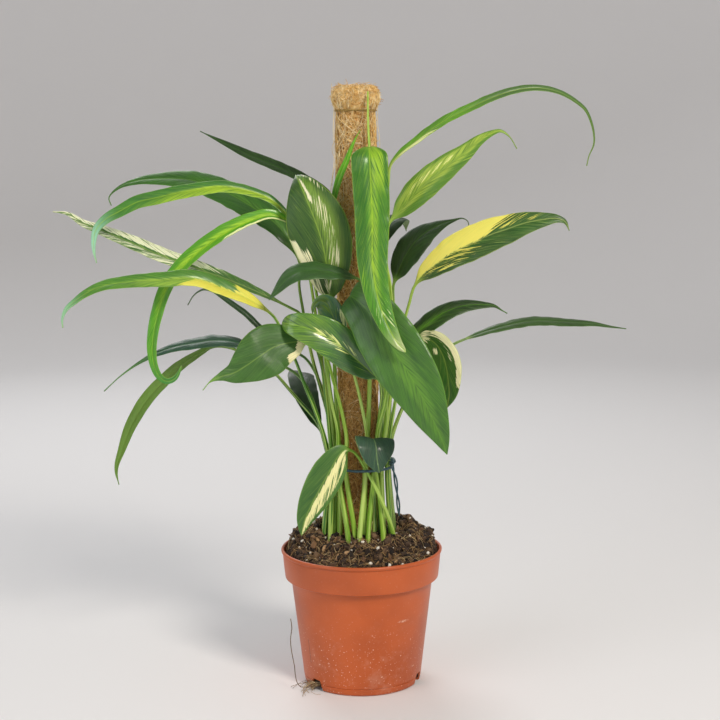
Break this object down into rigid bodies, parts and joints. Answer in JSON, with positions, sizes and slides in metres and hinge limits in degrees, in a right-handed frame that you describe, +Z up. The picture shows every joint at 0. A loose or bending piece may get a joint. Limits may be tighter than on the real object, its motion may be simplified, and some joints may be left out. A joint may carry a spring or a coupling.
{
  "type": "potted climbing aroid",
  "caption": "Young climbing aroid with long wavy variegated leaves, tied to a coir pole in a round nursery pot, for indoor scenes.",
  "frame": {"origin": "centre of the pot's flat underside", "axes": "+Z up along the pot's axis and the pole, -Y toward the side the picture shows, +X to the picture's right"},
  "size_m": [0.5316, 0.233, 0.5512],
  "materials": {
    "pot_plastic": "satin terracotta-coloured",
    "potting_mix": "loose, matte",
    "pole_wood": "planed, bare",
    "coir": "rough fibre",
    "thread": "matte",
    "plant_tie": "matte",
    "leaf_variegated": "satin, waxy",
    "leaf_dark": "satin, waxy",
    "leaf_new": "satin"
  },
  "bodies": {
    "root": {"pot": "pot_plastic", "soil": "potting_mix", "pole_core": "pole_wood", "coir_wrap": "coir", "pole_thread": "thread", "stem_tie": "plant_tie", "leaf_left_01": "leaf_dark", "leaf_left_02": "leaf_dark", "leaf_left_03": "leaf_variegated", "leaf_left_04": "leaf_variegated", "leaf_left_05": "leaf_variegated", "leaf_left_06": "leaf_variegated", "leaf_left_07": "leaf_dark", "leaf_left_08": "leaf_dark", "leaf_left_09": "leaf_variegated", "leaf_left_10": "leaf_variegated", "leaf_left_11": "leaf_dark", "leaf_front_01": "leaf_variegated", "leaf_front_02": "leaf_dark", "leaf_front_03": "leaf_variegated", "leaf_front_04": "leaf_variegated", "leaf_front_05": "leaf_variegated", "leaf_front_06": "leaf_variegated", "leaf_front_07": "leaf_variegated", "leaf_right_01": "leaf_variegated", "leaf_right_02": "leaf_variegated", "leaf_right_03": "leaf_dark", "leaf_right_04": "leaf_variegated", "leaf_right_05": "leaf_dark", "leaf_right_06": "leaf_dark", "leaf_right_07": "leaf_variegated", "leaf_right_08": "leaf_dark", "leaf_low_01": "leaf_variegated", "leaf_low_02": "leaf_dark", "new_leaf_spear": "leaf_new"}
  },
  "joints": []
}
